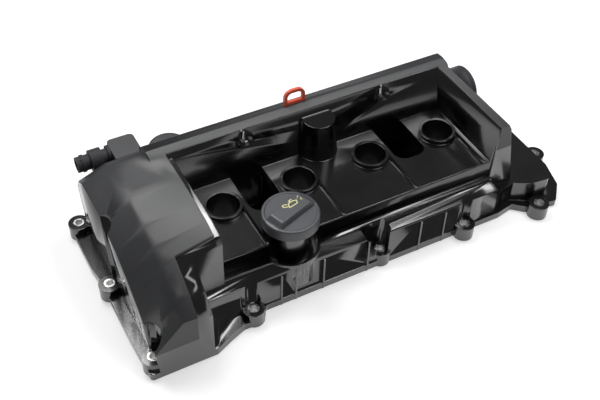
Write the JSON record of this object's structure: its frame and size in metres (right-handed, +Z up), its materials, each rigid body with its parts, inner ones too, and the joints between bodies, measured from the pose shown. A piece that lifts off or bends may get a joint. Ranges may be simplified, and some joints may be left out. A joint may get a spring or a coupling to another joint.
{
  "type": "engine valve cover",
  "caption": "Moulded cylinder head cover with a spark plug tray, oil filler neck with turning cap, breather rail and bolted sealing flange.",
  "frame": {"origin": "on the sealing plane, below the middle of the row of spark plug wells", "axes": "+X along the engine towards the low deck, +Y towards the tall rail, +Z up from the cylinder head"},
  "size_m": [0.518, 0.2181, 0.1387],
  "materials": {
    "cover_gloss": "moulded glass-filled plastic, glossy black",
    "shell_matte": "fine grained matte dark grey",
    "cap_satin": "satin dark grey",
    "trim_black": "satin black",
    "loop_red": "translucent red plastic",
    "sleeve_steel": "zinc plated, turned",
    "seal_rubber": "matte black rubber",
    "spring_steel": "drawn wire"
  },
  "bodies": {
    "cover": {"main_cover": "cover_gloss", "upper_shell": "shell_matte", "flange_gasket": "seal_rubber", "well_seal_1": "seal_rubber", "well_seal_2": "seal_rubber", "well_seal_3": "seal_rubber", "well_seal_4": "seal_rubber", "bolt_bushes": "sleeve_steel", "separator_plate": "trim_black", "separator_screws": "sleeve_steel", "regulator_lid": "shell_matte", "regulator_diaphragm": "seal_rubber", "regulator_spring": "spring_steel", "breather_port": "trim_black", "port_clip": "trim_black", "end_plug": "trim_black", "end_plug_seal": "seal_rubber", "harness_clip_left": "trim_black", "harness_clip_right": "trim_black", "pull_loop": "loop_red"},
    "cap": {"filler_cap": "cap_satin", "filler_cap_seal": "seal_rubber"},
    "plunger": {"regulator_plunger": "trim_black"}
  },
  "joints": [
    {"name": "cap_turn", "type": "hinge", "parent": "cover", "child": "cap", "pos_m": [-0.0805, -0.0545, 0.081], "axis": [0, 0, 1], "range_deg": [0, 90]},
    {"name": "regulator_slide", "type": "slide", "parent": "cover", "child": "plunger", "axis": [0, 0, -1], "range_m": [0, 0.003], "stiffness_N_per_m": 300, "springref_m": -0.002, "deforming": ["regulator_spring"]}
  ]
}
